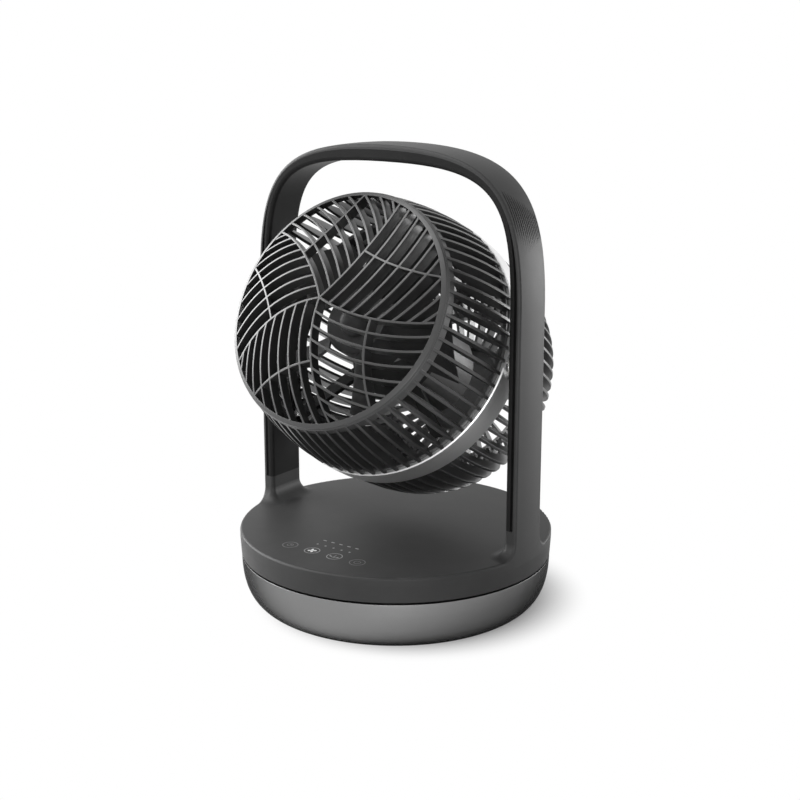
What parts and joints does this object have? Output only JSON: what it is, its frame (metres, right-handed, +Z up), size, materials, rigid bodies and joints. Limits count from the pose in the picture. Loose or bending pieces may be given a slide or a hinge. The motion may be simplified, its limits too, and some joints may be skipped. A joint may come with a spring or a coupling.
{
  "type": "table-top air circulator",
  "caption": "Table fan with a round tilting grille head hung in a carrying arch, on a round base whose upper half swings, with touch keys on its deck.",
  "frame": {"origin": "on the table, under the swivel axis of the base", "axes": "+Z up along the swivel axis, the fan blows towards -Y, +X to the right of someone who looks along +Y at its front"},
  "size_m": [0.25, 0.2542, 0.367],
  "materials": {
    "foot_paint": "satin metallic grey paint on plastic",
    "charcoal_plastic": "fine matte texture, charcoal",
    "black_plastic": "matte black",
    "blade_plastic": "smooth dark grey",
    "band_metal": "satin brushed",
    "motor_metal": "die cast",
    "steel": "plated",
    "core_iron": "laminated core with windings",
    "bearing_plastic": "natural acetal",
    "board": "circuit board",
    "rubber": "soft rubber"
  },
  "bodies": {
    "foot": {"foot_shell": "foot_paint", "rubber_feet": "rubber", "swivel_bush": "bearing_plastic", "glide_ring": "bearing_plastic", "power_inlet": "black_plastic", "swing_gear": "bearing_plastic"},
    "deck": {"deck_shell": "charcoal_plastic", "deck_plate": "black_plastic", "spindle_retainer": "steel", "retainer_screws": "steel", "deck_screws": "steel", "swing_motor": "steel", "swing_motor_screws": "steel", "control_board": "board", "touch_springs": "steel", "board_screws": "steel", "driver_board": "board", "driver_screws": "steel", "arch_frame": "charcoal_plastic", "arch_cover": "charcoal_plastic", "arch_screws": "steel", "pivot_bush_right": "bearing_plastic", "pivot_bush_left": "bearing_plastic"},
    "pinion": {"swing_pinion": "bearing_plastic"},
    "head": {"center_ring": "band_metal", "front_guard": "charcoal_plastic", "front_grille": "charcoal_plastic", "rear_guard": "charcoal_plastic", "rear_cap": "charcoal_plastic", "motor_bracket": "black_plastic", "bracket_screws": "steel", "motor_screws": "steel", "motor_front_housing": "motor_metal", "motor_rear_housing": "motor_metal", "bearing_front": "steel", "bearing_rear": "steel", "motor_stator": "core_iron", "pivot_pin_right": "steel", "pivot_pin_left": "steel", "friction_washers": "bearing_plastic", "pivot_screws": "steel"},
    "rotor": {"motor_rotor": "core_iron", "motor_shaft": "steel", "impeller": "blade_plastic", "blade_nut": "blade_plastic"}
  },
  "joints": [
    {"name": "base_swivel", "type": "hinge", "parent": "foot", "child": "deck", "pos_m": [0, 0, 0.045], "axis": [0, 0, 1], "range_deg": [-45, 45]},
    {"name": "swing_pinion_turn", "type": "hinge", "parent": "deck", "child": "pinion", "pos_m": [0, 0.04, 0.0335], "axis": [0, 0, 1], "range_deg": [-180, 180]},
    {"name": "head_tilt", "type": "hinge", "parent": "deck", "child": "head", "pos_m": [0, 0, 0.2095], "axis": [-1, 0, 0], "range_deg": [-30, 60]},
    {"name": "blade_spin", "type": "hinge", "parent": "head", "child": "rotor", "pos_m": [0, 0, 0.2095], "axis": [0, -0.8704, 0.4924], "continuous": true}
  ],
  "couplings": [
    {"joint": "swing_pinion_turn", "follows": "base_swivel", "ratio": 4}
  ]
}
